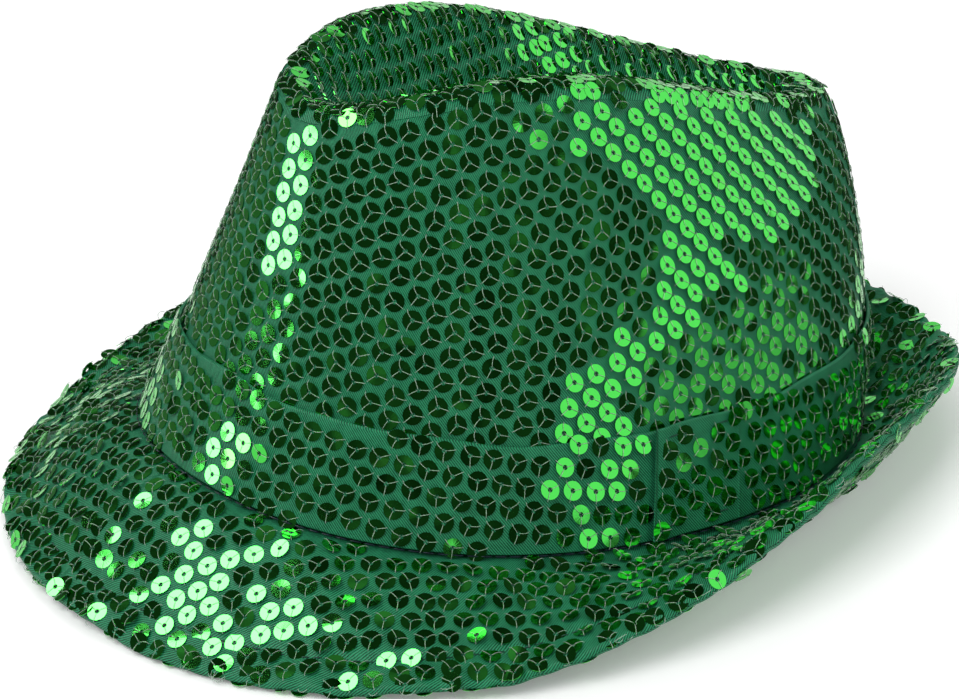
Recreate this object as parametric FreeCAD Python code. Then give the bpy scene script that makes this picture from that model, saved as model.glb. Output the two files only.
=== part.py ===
import FreeCAD, Part
import math
import os

# A trilby hat in sequin cloth. Units are millimetres.
# The hat lies at rest on a level surface: front of the brim towards -Y, the wearer's left at +X, up is +Z.
# The origin is below the middle of the hat, level with the lowest point of the brim.
# An angle round the hat runs from 0 at the front through 90 at the wearer's left to 180 at the back.

Vector = FreeCAD.Vector

# Oval where the crown meets the brim
base_half_width = 84.3
base_half_length = 104.5
base_set_back = -1.0
base_squareness = 0.04
base_wave = 3.5

# Crest, the ridge round the top of the crown, with its heights from front to back at every 60 degrees
crest_half_length = 84.3
crest_half_width_front = 42.6
crest_half_width_back = 22.4
crest_set_back = 13.3
crest_heights = (101.7, 112.5, 96.1, 88.5)

# Seam of tip and side, a little outside and below the crest
seam_below_crest = 3.1
seam_outside_crest = 5.0

# Dent in the tip: a valley along the middle with its heights at front and back
valley_half_length = 52.0
valley_heights = (88.0, 80.0)

# How far the crown's wall bows out halfway up
wall_bow_front = -1.5
wall_bow_side = 2.9
wall_bow_back = 8.1

# Brim: widths from front to back at every 90 degrees, slopes in degrees at every 45
brim_widths = (47.5, 40.4, 33.3)
brim_slopes = (-37.0, -25.5, 21.3, 48.5, 27.6)
brim_roll = 2.5

# Plies and the slack between them
sequin_cloth = 1.0
crown_stiffener = 1.0
brim_stiffener = 1.4
lining_cloth = 0.4
sweatband_leather = 0.9
ply_slack = 0.2
end_slack = 0.35
thread_thickness = 0.5
thread_sit = 0.15

# Trim on the crown
band_height = 28.3
band_thickness = 1.6
band_off_brim = 0.7
keeper_width = 23.0
keeper_thickness = 1.0
keeper_angle = 93.5
keeper_past_band = 1.2
keeper_off_brim = 1.75
tack_width = 2.5
tack_low = 4.8
sweatband_height = 30.0
seam_tape_width = 14.0
seam_tape = 0.5
seam_tape_below_tip = 9.3

# Seams of the brim
edge_seam_width = 3.0
edge_seam_inset = 0.3
topstitch_inset = 10.0
sweatband_stitch_height = 3.0
back_opening = 0.3

# Share of its own depth that a ply of the wall stops further below the seam, because the tip slopes there
tip_clearance_share = 0.8

# The rest position is looked for between level and this many degrees of tilt, by halving
steepest_tilt = 20.0
tilt_halvings = 30

# How finely the curved faces are drawn and sewn
columns_half = 30
columns_patch = 5
rows_wall = 7
rows_tip = 21
rows_brim = 11
rows_flat = 3
sewing_gap = 0.005
small = 1e-4
off_valley = 0.03


def around(stations, angle):
    """A value that passes smoothly through evenly spaced stations from front to back."""
    spans = len(stations) - 1
    total = 0.0
    for order in range(spans + 1):
        strength = 0.0
        for place, value in enumerate(stations):
            share = 0.5 if place in (0, spans) else 1.0
            strength += share * value * math.cos(math.pi * place * order / spans)
        share = 0.5 if order in (0, spans) else 1.0
        total += share * strength * 2.0 / spans * math.cos(order * angle)
    return total


def base_point(angle):
    """A point of the oval where crown and brim meet."""
    across = base_half_width * (math.sin(angle) + base_squareness * math.sin(3.0 * angle))
    along = base_set_back - base_half_length * math.cos(angle)
    return Vector(across, along, base_wave * math.cos(2.0 * angle))


def outward(angle):
    """The level direction that points squarely out of the base oval."""
    step = base_point(angle + small) - base_point(angle - small)
    return Vector(step.y, -step.x, 0.0).normalize()


def crest_point(angle, out=0.0, down=0.0):
    """A point of the crest, or of a curve set outside and below it."""
    front_share = (1.0 + math.cos(angle)) / 2.0
    half_width = crest_half_width_back + (crest_half_width_front - crest_half_width_back) * front_share
    half_width += out * (1.0 + (crest_half_width_front / crest_half_width_back - 1.0) * front_share)
    along = crest_set_back - (crest_half_length + out) * math.cos(angle)
    return Vector(half_width * math.sin(angle), along, around(crest_heights, angle) - down)


def seam_point(angle):
    """A point of the seam between the side and the tip of the crown."""
    return crest_point(angle, seam_outside_crest, seam_below_crest)


def wall_bow(angle):
    """How far the wall bows out of the straight line from base to seam."""
    ahead = math.cos(angle)
    end_bow = wall_bow_front if ahead > 0.0 else wall_bow_back
    return wall_bow_side * math.sin(angle) ** 2 + end_bow * ahead ** 2


def wall_point(angle, rise, out):
    """A point on the crown's wall, rise millimetres up from the base or up to the seam, moved out."""
    low = base_point(angle)
    high = seam_point(angle)
    share = rise / (high.z - low.z)
    bow = wall_bow(angle) * 4.0 * share * (1.0 - share)
    return low + (high - low) * share + outward(angle) * (bow + out)


def wall_height(angle):
    """Height of the wall from the base to the seam."""
    return seam_point(angle).z - base_point(angle).z


def tip_surface(angle, reach):
    """The outer face of the tip: reach is 0 along the valley and 1 at the seam."""
    seam = seam_point(angle)
    valley_along = crest_set_back - valley_half_length * math.cos(angle)
    valley_z = around(valley_heights, angle)
    crest_z = around(crest_heights, angle)
    crest_reach = 1.0 - seam_outside_crest / (crest_half_length + seam_outside_crest - valley_half_length)
    if reach > crest_reach:
        drop = seam_below_crest * ((reach - crest_reach) / (1.0 - crest_reach)) ** 2
        height = crest_z - drop
    else:
        share = (1.0 - (reach / crest_reach) ** 2) ** 2
        height = crest_z + (valley_z - crest_z) * share
    along = valley_along + (seam.y - valley_along) * reach
    return Vector(seam.x * reach, along, height)


def tip_point(angle, reach, out):
    """A point of the tip moved squarely off its face."""
    here = min(max(angle, off_valley), math.pi - off_valley)
    span = min(max(reach, off_valley), 1.0 - small)
    turn = tip_surface(here + small, span) - tip_surface(here - small, span)
    rise = tip_surface(here, span + small) - tip_surface(here, span - small)
    normal = rise.cross(turn).normalize()
    if normal.z < 0.0:
        normal = normal * -1.0
    if angle < small or angle > math.pi - small or reach < small:
        normal = Vector(0.0, normal.y, normal.z).normalize()
    return tip_surface(angle, reach) + normal * out


def brim_surface(angle, reach):
    """The top face of the brim: reach is 0 at the crown and 1 at the edge, and below 0 under the wall."""
    width = around(brim_widths, angle)
    bend = 1.0 - (1.0 - min(max(reach, 0.0), 1.0)) ** brim_roll
    slope = math.radians(around(brim_slopes, angle)) * bend
    level = width * reach * math.cos(slope)
    rise = width * max(reach, 0.0) * math.sin(slope)
    return base_point(angle) + outward(angle) * level + Vector(0.0, 0.0, rise)


def brim_point(angle, reach, out):
    """A point of the brim moved squarely off its top face."""
    turn = brim_surface(angle + small, reach) - brim_surface(angle - small, reach)
    away = brim_surface(angle, reach + small) - brim_surface(angle, reach - small)
    normal = away.cross(turn).normalize()
    if normal.z < 0.0:
        normal = normal * -1.0
    if angle < small or angle > math.pi - small:
        normal = Vector(0.0, normal.y, normal.z).normalize()
    return brim_surface(angle, reach) + normal * out


def spread(low, high, count):
    """Evenly spaced values from low to high."""
    return [low + (high - low) * index / (count - 1) for index in range(count)]


def face_through(grid):
    """A smooth face through a grid of points."""
    surface = Part.BSplineSurface()
    surface.interpolate(grid)
    return surface


def border(surface, side):
    """One of the four border edges of a face."""
    first, last, low, high = surface.bounds()
    curves = {"start": lambda: surface.uIso(first), "end": lambda: surface.uIso(last),
              "low": lambda: surface.vIso(low), "high": lambda: surface.vIso(high)}
    return curves[side]().toShape()


def ply(point, angles, reaches, outer, inner, closed_sides, mirrored):
    """A solid between two offsets of a face; mirrored plies have their halves joined at the middle."""
    grids = []
    for offset in (outer, inner):
        grid = []
        for angle in angles:
            low, high, count = reaches(angle)
            row = [point(angle, reach, offset) for reach in spread(low, high, count)]
            if mirrored and (angle < small or angle > math.pi - small):
                row = [Vector(0.0, place.y, place.z) for place in row]
            grid.append(row)
        grids.append(face_through(grid))
    faces = [surface.toShape() for surface in grids]
    for side in closed_sides:
        faces.append(Part.makeRuledSurface(border(grids[0], side), border(grids[1], side)))
    if mirrored:
        faces += [face.mirror(Vector(0.0, 0.0, 0.0), Vector(1.0, 0.0, 0.0)) for face in faces]
    sewn = Part.makeCompound(faces)
    sewn.sewShape(sewing_gap)
    solid = Part.makeSolid(sewn.Shells[0])
    if solid.Volume < 0.0:
        solid.reverse()
    return solid


def half_angles():
    """Angles from the front to the back for one half of a mirrored ply."""
    return spread(0.0, math.pi, columns_half + 1)


def strip_angles(centre, opening):
    """Angles once round the hat, starting and ending beside a butt joint."""
    gap = opening / base_half_length / 2.0
    start = centre + gap
    return spread(start, centre + 2.0 * math.pi - gap, 2 * columns_half + 1)


def wall_strip(low, high_below_seam, outer, inner, joint=math.pi):
    """A strip round the crown's wall whose ends meet at a joint."""
    def reaches(angle):
        return low, wall_height(angle) - high_below_seam, rows_wall
    sides = ("start", "end", "low", "high")
    return ply(wall_point, strip_angles(joint, back_opening), reaches, outer, inner, sides, False)


def low_strip(low, high, outer, inner, joint=math.pi):
    """A strip of even height round the foot of the crown's wall."""
    def reaches(angle):
        return low, high, rows_flat
    sides = ("start", "end", "low", "high")
    return ply(wall_point, strip_angles(joint, back_opening), reaches, outer, inner, sides, False)


def wall_patch(centre, width, low, high, outer, inner):
    """A patch on the wall, width millimetres wide, about an angle."""
    radius = math.hypot(base_point(centre).x, base_point(centre).y)
    half = width / 2.0 / radius

    def reaches(angle):
        return low, high(angle), rows_wall
    angles = spread(centre - half, centre + half, columns_patch)
    return ply(wall_point, angles, reaches, outer, inner, ("start", "end", "low", "high"), False)


def tip_ply(outer, inner, short_by):
    """One ply of the tip, stopping short of the seam."""
    def reaches(angle):
        seam_reach = crest_half_length + seam_outside_crest - valley_half_length
        return 0.0, 1.0 - short_by / seam_reach, rows_tip
    return ply(tip_point, half_angles(), reaches, outer, inner, ("high",), True)


def brim_ring(from_crown, from_edge, outer, inner, rows=rows_brim):
    """A ring of the brim between two distances, one from the crown and one from the edge."""
    def reaches(angle):
        width = around(brim_widths, angle)
        return from_crown(width) / width, 1.0 - from_edge / width, rows
    return ply(brim_point, half_angles(), reaches, outer, inner, ("low", "high"), True)


# Depths of the plies below the outer face of the crown
side_inner = -sequin_cloth
stiff_outer = side_inner - ply_slack
stiff_inner = stiff_outer - crown_stiffener
lining_outer = stiff_inner - ply_slack
lining_inner = lining_outer - lining_cloth
sweat_outer = lining_inner - ply_slack
sweat_inner = sweat_outer - sweatband_leather
band_inner = ply_slack
band_outer = band_inner + band_thickness
keeper_inner = band_outer + ply_slack
keeper_outer = keeper_inner + keeper_thickness
tape_outer = lining_inner - ply_slack
tape_inner = tape_outer - seam_tape

# Depths of the plies below the top face of the brim
brim_top_inner = -sequin_cloth
brim_stiff_outer = brim_top_inner - ply_slack
brim_stiff_inner = brim_stiff_outer - brim_stiffener
brim_under_outer = brim_stiff_inner - ply_slack
brim_under_inner = brim_under_outer - sequin_cloth


def short_of_seam(inner):
    """How far a ply of the wall stops below the seam, so that it clears the tip."""
    return end_slack - tip_clearance_share * inner


def crown_side_cloth():
    """Outer sequin cloth of the crown's side, a strip sewn up at the back."""
    return wall_strip(end_slack, short_of_seam(side_inner), 0.0, side_inner)


def crown_side_stiffener():
    """Stiff interlining behind the side cloth."""
    return wall_strip(end_slack, short_of_seam(stiff_inner), stiff_outer, stiff_inner)


def crown_lining_side():
    """Thin lining inside the crown's side."""
    return wall_strip(end_slack, short_of_seam(lining_inner), lining_outer, lining_inner)


def crown_tip_cloth():
    """Outer sequin cloth of the dented tip."""
    return tip_ply(0.0, side_inner, 0.0)


def crown_tip_stiffener():
    """Stiff interlining below the tip cloth."""
    return tip_ply(stiff_outer, stiff_inner, 0.0)


def crown_lining_tip():
    """Thin lining below the tip."""
    return tip_ply(lining_outer, lining_inner, 0.0)


def back_seam_tape():
    """Tape over the back seam of the lining, above the sweatband."""
    low = sweatband_height + end_slack

    def high(angle):
        return wall_height(angle) - short_of_seam(tape_inner) - seam_tape_below_tip
    return wall_patch(math.pi, seam_tape_width, low, high, tape_outer, tape_inner)


def sweatband():
    """Band inside the foot of the crown, which also covers the brim's cut inner edge."""
    return low_strip(brim_stiff_inner, sweatband_height, sweat_outer, sweat_inner)


def sweatband_stitching():
    """Line of thread round the foot of the sweatband."""
    outer = sweat_inner - thread_sit
    low = sweatband_stitch_height
    return low_strip(low, low + thread_thickness, outer, outer - thread_thickness)


def hat_band():
    """Folded sequin band round the outside of the crown, with its ends under the keeper."""
    return low_strip(band_off_brim, band_height, band_outer, band_inner, math.radians(keeper_angle))


def band_keeper():
    """Flat upright tab that covers the joint of the hat band."""
    def high(angle):
        return band_height + keeper_past_band
    return wall_patch(math.radians(keeper_angle), keeper_width, keeper_off_brim, high,
                      keeper_outer, keeper_inner)


def join_stitching():
    """Line of dark thread at the foot of the hat band, where crown and brim are sewn together."""
    inner = band_outer + thread_sit
    return low_strip(band_off_brim, band_off_brim + thread_thickness, inner + thread_thickness, inner)


def keeper_stitching():
    """Thread tacks above and below, which hold the keeper to the crown."""
    angle = math.radians(keeper_angle)
    tacks = []
    outer = keeper_outer + thread_sit + thread_thickness
    for height in (band_height - keeper_past_band, tack_low):
        for side in (-1.0, 1.0):
            place = angle + side * keeper_width / 4.0 / base_half_length

            def high(angle, top=height + thread_thickness):
                return top
            tacks.append(wall_patch(place, tack_width, height, high, outer, outer - thread_thickness))
    return Part.makeCompound(tacks)


def under_wall(width):
    """The brim's plies reach inwards under the crown's wall, to the middle of its stiffener."""
    return (stiff_outer + stiff_inner) / 2.0


def brim_top_cloth():
    """Sequin cloth on top of the brim."""
    return brim_ring(under_wall, 0.0, 0.0, brim_top_inner)


def brim_stiffener_ring():
    """Stiff interlining between the brim's two cloths."""
    return brim_ring(under_wall, edge_seam_width + 2.0 * edge_seam_inset, brim_stiff_outer, brim_stiff_inner)


def brim_edge_seam():
    """Seam allowance of both cloths, turned in along the edge of the brim."""
    def from_crown(width):
        return width - edge_seam_width - edge_seam_inset
    return brim_ring(from_crown, edge_seam_inset, brim_stiff_outer, brim_stiff_inner, rows_flat)


def brim_under_cloth():
    """Sequin cloth below the brim."""
    return brim_ring(under_wall, 0.0, brim_under_outer, brim_under_inner)


def topstitch_ring(outer, inner):
    """Line of thread round the brim, set in from its edge."""
    def from_crown(width):
        return width - topstitch_inset - thread_thickness
    return brim_ring(from_crown, topstitch_inset, outer, inner, rows_flat)


def brim_topstitch_upper():
    """Topstitching on the upper side of the brim."""
    return topstitch_ring(thread_sit + thread_thickness, thread_sit)


def brim_topstitch_lower():
    """Topstitching on the lower side of the brim."""
    outer = brim_under_inner - thread_sit
    return topstitch_ring(outer, outer - thread_thickness)


def lowest(tilt, angles):
    """Height of the lowest point of the brim's underside when the hat is tipped back."""
    depths = []
    for angle in angles:
        for reach in spread(0.0, 1.0, 2 * rows_brim):
            place = brim_point(angle, reach, brim_under_inner)
            depths.append(place.z * math.cos(tilt) - place.y * math.sin(tilt))
    return min(depths)


def rest_tilt():
    """The tilt at which the brim's front edge and the foot of the crown at the back touch down together."""
    front = spread(0.0, math.pi / 2.0, columns_half + 1)
    back = spread(math.pi / 2.0, math.pi, columns_half + 1)
    low, high = 0.0, math.radians(steepest_tilt)
    for step in range(tilt_halvings):
        middle = (low + high) / 2.0
        if lowest(middle, front) < lowest(middle, back):
            low = middle
        else:
            high = middle
    return (low + high) / 2.0


def rest_placement():
    """Puts the hat down on its brim with the origin below its middle."""
    tilt = rest_tilt()
    floor = lowest(tilt, half_angles())
    along = []
    for angle in half_angles():
        for out in (0.0, brim_under_inner):
            place = brim_point(angle, 1.0, out)
            along.append(place.y * math.cos(tilt) + place.z * math.sin(tilt))
    middle = (min(along) + max(along)) / 2.0
    print("rest tilt", round(math.degrees(tilt), 3), "floor", round(floor, 3), "middle", round(middle, 3))
    turn = FreeCAD.Rotation(Vector(1.0, 0.0, 0.0), -math.degrees(tilt))
    return FreeCAD.Placement(Vector(0.0, -middle, -floor), turn)


pieces = {
    "crown_side_cloth": crown_side_cloth,
    "crown_side_stiffener": crown_side_stiffener,
    "crown_lining_side": crown_lining_side,
    "crown_tip_cloth": crown_tip_cloth,
    "crown_tip_stiffener": crown_tip_stiffener,
    "crown_lining_tip": crown_lining_tip,
    "back_seam_tape": back_seam_tape,
    "sweatband": sweatband,
    "sweatband_stitching": sweatband_stitching,
    "hat_band": hat_band,
    "band_keeper": band_keeper,
    "keeper_stitching": keeper_stitching,
    "join_stitching": join_stitching,
    "brim_top_cloth": brim_top_cloth,
    "brim_stiffener": brim_stiffener_ring,
    "brim_edge_seam": brim_edge_seam,
    "brim_under_cloth": brim_under_cloth,
    "brim_topstitch_upper": brim_topstitch_upper,
    "brim_topstitch_lower": brim_topstitch_lower,
}


def build():
    """Makes every piece, lays the hat down and writes one file for each piece."""
    os.makedirs("parts", exist_ok=True)
    placement = rest_placement()
    for name, make in pieces.items():
        shape = make()
        shape.Placement = placement
        print(name, "valid", shape.isValid(), "volume", round(shape.Volume, 1), "solids", len(shape.Solids))
        shape.exportStep("parts/" + name + ".step")


build()
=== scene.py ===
# %% [markdown]
# # A green sequin trilby
# This lesson dresses a finished hat model. The frame holds the pattern pieces at their real size: two
# cloths of the crown, two of the brim, the band, its keeper and the plies inside. Here each cloth gets
# its satin, and on the satin every sequin and every sewing thread is real geometry.

# %% Load the frame
import math
import bpy
import numpy as np
from mathutils import Matrix, Vector


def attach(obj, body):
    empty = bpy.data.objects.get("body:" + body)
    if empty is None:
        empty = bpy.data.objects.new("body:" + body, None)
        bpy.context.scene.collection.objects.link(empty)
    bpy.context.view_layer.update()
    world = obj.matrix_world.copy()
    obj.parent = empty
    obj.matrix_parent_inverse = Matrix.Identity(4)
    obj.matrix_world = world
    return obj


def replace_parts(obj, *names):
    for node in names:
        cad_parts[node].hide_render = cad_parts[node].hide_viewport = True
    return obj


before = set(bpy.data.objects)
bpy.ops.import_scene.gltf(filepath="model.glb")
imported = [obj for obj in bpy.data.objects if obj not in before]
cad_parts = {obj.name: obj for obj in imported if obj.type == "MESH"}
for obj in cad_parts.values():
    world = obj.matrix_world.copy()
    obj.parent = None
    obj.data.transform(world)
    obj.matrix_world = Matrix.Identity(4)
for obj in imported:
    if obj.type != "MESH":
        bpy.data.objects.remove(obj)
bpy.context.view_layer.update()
print("pieces in the frame:", len(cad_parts))

# %% [markdown]
# ## The hat's own shape
# A hatter shapes a hat over a block. Our block is a set of curves that run round the hat: an angle of 0
# is the front, a quarter turn is the wearer's left, half a turn is the back. We could read the shape
# back from the frame's meshes, but a formula gives smooth surfaces at any density, and it tells us the
# squarely outward direction at each point, which every sequin needs.

# %% Sizes of the block, in metres
MM = 0.001
base_half_width = 84.3 * MM
base_half_length = 104.5 * MM
base_set_back = -1.0 * MM
base_squareness = 0.04
base_wave = 3.5 * MM
crest_half_length = 84.3 * MM
crest_half_width_front = 42.6 * MM
crest_half_width_back = 22.4 * MM
crest_set_back = 13.3 * MM
crest_heights = np.array([101.7, 112.5, 96.1, 88.5]) * MM
seam_below_crest = 3.1 * MM
seam_outside_crest = 5.0 * MM
valley_half_length = 52.0 * MM
valley_heights = np.array([88.0, 80.0]) * MM
wall_bow_front, wall_bow_side, wall_bow_back = -1.5 * MM, 2.9 * MM, 8.1 * MM
brim_widths = np.array([47.5, 40.4, 33.3]) * MM
brim_slopes = np.radians([-37.0, -25.5, 21.3, 48.5, 27.6])
brim_roll = 2.5
band_height = 28.3 * MM
rest_tilt = math.radians(6.572)
rest_shift = np.array([0.0, 4.849, 12.326]) * MM
FULL_TURN = 2.0 * math.pi
tiny = 1e-4

# %% Curves round the hat


def around(stations, angle):
    """A value that passes smoothly through evenly spaced stations from front to back."""
    spans = len(stations) - 1
    total = np.zeros_like(np.asarray(angle, float))
    for order in range(spans + 1):
        places = np.arange(spans + 1)
        ends = np.where((places == 0) | (places == spans), 0.5, 1.0)
        strength = np.sum(ends * stations * np.cos(math.pi * places * order / spans))
        total = total + ends[order] * strength * 2.0 / spans * np.cos(order * angle)
    return total


def base_curve(angle):
    """The oval where crown and brim meet."""
    across = base_half_width * (np.sin(angle) + base_squareness * np.sin(3.0 * angle))
    along = base_set_back - base_half_length * np.cos(angle)
    return np.stack([across, along, base_wave * np.cos(2.0 * angle)], -1)


def unit(vectors):
    """The same directions at a length of one."""
    return vectors / np.maximum(np.linalg.norm(vectors, axis=-1, keepdims=True), 1e-12)


def outward(angle):
    """The level direction squarely out of the base oval."""
    step = base_curve(angle + tiny) - base_curve(angle - tiny)
    return unit(np.stack([step[..., 1], -step[..., 0], 0.0 * step[..., 0]], -1))


def seam_curve(angle):
    """The seam between the side and the tip of the crown."""
    front_share = (1.0 + np.cos(angle)) / 2.0
    flare = crest_half_width_front / crest_half_width_back - 1.0
    half_width = (crest_half_width_back + seam_outside_crest) * (1.0 + flare * front_share)
    along = crest_set_back - (crest_half_length + seam_outside_crest) * np.cos(angle)
    height = around(crest_heights, angle) - seam_below_crest
    return np.stack([half_width * np.sin(angle), along, height], -1)


def laid(points):
    """Tips the hat back onto its brim, the way it rests on the table."""
    c, s = math.cos(rest_tilt), math.sin(rest_tilt)
    x, y, z = points[..., 0], points[..., 1], points[..., 2]
    return np.stack([x, y * c + z * s, z * c - y * s], -1) + rest_shift


front_seam = laid(seam_curve(np.array(0.0)))
print("front of the crown seam stands", round(1000 * float(front_seam[2]), 1), "mm off the table")

# %% [markdown]
# ## Small unevenness
# Cloth over soft interlining is never as smooth as a formula. A few slow waves, seeded so that they are
# the same each time, bend the wall by less than half a millimetre. That is enough to make the mirror
# sequins catch the light in ragged patches and not in clean stripes.

# %% Slow waves and stitched grooves
wall_swell, tip_swell, brim_swell = 0.35 * MM, 0.6 * MM, 1.5 * MM
seam_width, topstitch_width, groove_depth = 1.3 * MM, 1.4 * MM, 0.7 * MM
topstitch_inset = 10.0 * MM
puckers_round = 97.0
pucker_height, pucker_width = 0.35 * MM, 3.0 * MM


def waves(angle, height, seed, turns, rises, strength):
    """A sum of gentle waves over a strip."""
    random = np.random.default_rng(seed)
    total = 0.0
    for turn, rise in zip(turns, rises):
        phase, lean = random.uniform(0.0, FULL_TURN, 2)
        beat = np.cos(lean + 0.4 * turn * angle)
        total = total + np.sin(turn * angle + rise * height / MM + phase) * beat
    return strength * total / len(turns)


def groove(distance, width, depth):
    """A soft groove, deepest where the distance is nought."""
    return -depth * np.exp(-(distance / width) ** 2)


def wall(angle, rise, out=0.0):
    """A point of the crown's wall, rise metres up from the brim, moved squarely out."""
    low, high = base_curve(angle), seam_curve(angle)
    height = high[..., 2] - low[..., 2]
    share = rise / height
    ahead = np.cos(angle)
    end_bow = np.where(ahead > 0.0, wall_bow_front, wall_bow_back)
    bow = (wall_bow_side * np.sin(angle) ** 2 + end_bow * ahead ** 2) * 4.0 * share * (1.0 - share)
    swell = waves(angle, rise, 3, (5, 8, 11, 7), (0.05, -0.07, 0.09, 0.12), wall_swell)
    swell = swell * np.clip(share * 3.0, 0.0, 1.0) * np.clip((1.0 - share) * 6.0, 0.0, 1.0)
    push = bow + out + swell + groove(height - rise, seam_width, groove_depth)
    return low + (high - low) * share[..., None] + outward(angle) * push[..., None]


def tip(angle, reach):
    """The dented tip: reach is nought along the valley and one at the seam."""
    seam = seam_curve(angle)
    valley_along = crest_set_back - valley_half_length * np.cos(angle)
    crest_z = around(crest_heights, angle)
    span = crest_half_length + seam_outside_crest - valley_half_length
    crest_reach = 1.0 - seam_outside_crest / span
    drop = seam_below_crest * (np.maximum(reach - crest_reach, 0.0) / (1.0 - crest_reach)) ** 2
    dip = around(valley_heights, angle) - crest_z
    dip = dip * (1.0 - np.minimum(reach / crest_reach, 1.0) ** 2) ** 2
    swell = waves(angle, reach * span, 8, (2, 3, 5), (0.11, -0.16, 0.2), tip_swell)
    swell = swell * np.sin(math.pi * reach) ** 2
    edge = groove((1.0 - reach) * span, seam_width, groove_depth)
    along = valley_along + (seam[..., 1] - valley_along) * reach
    return np.stack([seam[..., 0] * reach, along, crest_z - drop + dip + swell + edge], -1)


def brim(angle, reach):
    """The top face of the brim: reach is nought at the crown and one at the edge."""
    width = around(brim_widths, angle)
    bend = 1.0 - (1.0 - np.clip(reach, 0.0, 1.0)) ** brim_roll
    slope = around(brim_slopes, angle) * bend
    level = width * reach * np.cos(slope)
    rise = width * np.maximum(reach, 0.0) * np.sin(slope)
    from_edge = (1.0 - reach) * width
    swell = waves(angle, reach * width, 5, (7, 12, 19, 31), (0.09, -0.13, 0.17, 0.2), brim_swell)
    pucker = pucker_height * np.sin(puckers_round * angle) * np.exp(-(from_edge / pucker_width) ** 2)
    stitch = groove(from_edge - topstitch_inset, topstitch_width, groove_depth)
    up = np.zeros(rise.shape + (3,))
    up[..., 2] = rise + swell * np.clip(reach, 0.0, 1.0) ** 0.7 + pucker + stitch
    return base_curve(angle) + outward(angle) * level[..., None] + up


def with_normal(surface, across, along):
    """Points of a surface with their unit normals and the unit direction of the second number."""
    turn = surface(across + tiny, along) - surface(across - tiny, along)
    climb = surface(across, along + tiny * 0.5) - surface(across, along - tiny * 0.5)
    return surface(across, along), unit(np.cross(climb, turn)), unit(climb)


def upper_side(surface, across, along):
    """The same, with the normals turned upwards."""
    place, normal, climb = with_normal(surface, across, along)
    return place, normal * np.sign(normal[..., 2:3]), climb


def outer_side(surface, across, along):
    """The same, with the normals turned away from the head."""
    place, normal, climb = with_normal(surface, across, along)
    outside = np.sum(normal * outward(across), -1, keepdims=True)
    return place, normal * np.sign(outside), climb


sample = outer_side(wall, np.array([math.pi / 2.0]), np.array([0.05]))[1][0]
print("the wall at the wearer's left faces", np.round(sample, 2))

# %% [markdown]
# ## Meshes from grids
# A few helpers do all the mesh work. One makes a mesh from points and four-sided faces, fast, because
# there will be more than half a million of them. Another makes a cloth: an outer grid, an inner grid
# and rims, so that every cloth is a closed thin body. Each cloth also keeps its flat pattern
# coordinates, in millimetres, so that the weave runs true on it.

# %% Mesh helpers


def mesh_piece(name, points, faces, material, smooth=False):
    """A mesh object made of four-sided faces, riding with the hat."""
    mesh = bpy.data.meshes.new(name)
    faces = np.ascontiguousarray(faces, np.int32)
    mesh.vertices.add(len(points))
    mesh.vertices.foreach_set("co", np.ascontiguousarray(points, np.float32).ravel())
    mesh.loops.add(faces.size)
    mesh.loops.foreach_set("vertex_index", faces.ravel())
    mesh.polygons.add(len(faces))
    mesh.polygons.foreach_set("loop_start", np.arange(0, faces.size, 4, dtype=np.int32))
    mesh.update(calc_edges=True)
    mesh.validate()
    mesh.polygons.foreach_set("use_smooth", np.full(len(mesh.polygons), smooth))
    mesh.materials.append(material)
    piece = bpy.data.objects.new(name, mesh)
    bpy.context.scene.collection.objects.link(piece)
    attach(piece, "root")
    return piece


def grid_faces(rows, columns, closed, start=0, flip=False):
    """Faces of a grid whose columns may close round the hat."""
    last = columns if closed else columns - 1
    row, column = np.meshgrid(np.arange(rows - 1), np.arange(last), indexing="ij")
    ahead = (column + 1) % columns
    faces = np.stack([row * columns + column, row * columns + ahead,
                      (row + 1) * columns + ahead, (row + 1) * columns + column], -1).reshape(-1, 4)
    return start + (faces[:, ::-1] if flip else faces)


def lay_pattern(piece, flat):
    """Gives each point of a piece its place on the flat pattern, in millimetres."""
    layer = piece.data.uv_layers.new(name="pattern")
    corner = np.zeros(len(piece.data.loops), np.int32)
    piece.data.loops.foreach_get("vertex_index", corner)
    layer.data.foreach_set("uv", np.ascontiguousarray(flat[corner], np.float32).ravel())


def cloth_piece(name, outer, inner, pattern, closed, material):
    """A thin closed body between two grids of points, tipped back like the hat."""
    rows, columns = outer.shape[:2]
    count = rows * columns
    points = laid(np.concatenate([outer.reshape(-1, 3), inner.reshape(-1, 3)]))
    faces = [grid_faces(rows, columns, closed), grid_faces(rows, columns, closed, count, True)]
    column = np.arange(columns if closed else columns - 1)
    ahead = (column + 1) % columns
    top = (rows - 1) * columns
    faces.append(np.stack([ahead, column, count + column, count + ahead], -1))
    faces.append(np.stack([top + column, top + ahead, count + top + ahead, count + top + column], -1))
    if not closed:
        row = np.arange(rows - 1) * columns
        far = row + columns - 1
        faces.append(np.stack([row, row + columns, count + row + columns, count + row], -1))
        faces.append(np.stack([far + columns, far, count + far, count + far + columns], -1))
    piece = mesh_piece(name, points, np.concatenate(faces), material, smooth=True)
    lay_pattern(piece, np.concatenate([pattern.reshape(-1, 2)] * 2))
    piece.data.set_sharp_from_angle(angle=math.radians(50.0))
    return piece


# %% [markdown]
# ## Finishes
# The base cloth is a satin twill: fine slanting ribs about half a millimetre apart and a soft sheen.
# It could be a picture of cloth, but here the ribs come from a wave texture on the flat pattern, so
# they follow each panel. The sequins are mirror film: nearly pure metal, so their colour is the colour
# of what they mirror. A second number on each sequin shifts its hue a little, as in a mixed batch.

# %% Material helpers
diagonal_spacing = 0.444


def new_material(name):
    """An empty node material with its surface shader."""
    material = bpy.data.materials.new(name)
    material.use_nodes = True
    nodes = material.node_tree.nodes
    return material, nodes, material.node_tree.links, nodes["Principled BSDF"]


def set_inputs(node, **values):
    """Sets inputs of a node by their names, with _ in place of a space."""
    for name, value in values.items():
        node.inputs[name.replace("_", " ")].default_value = value


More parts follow.
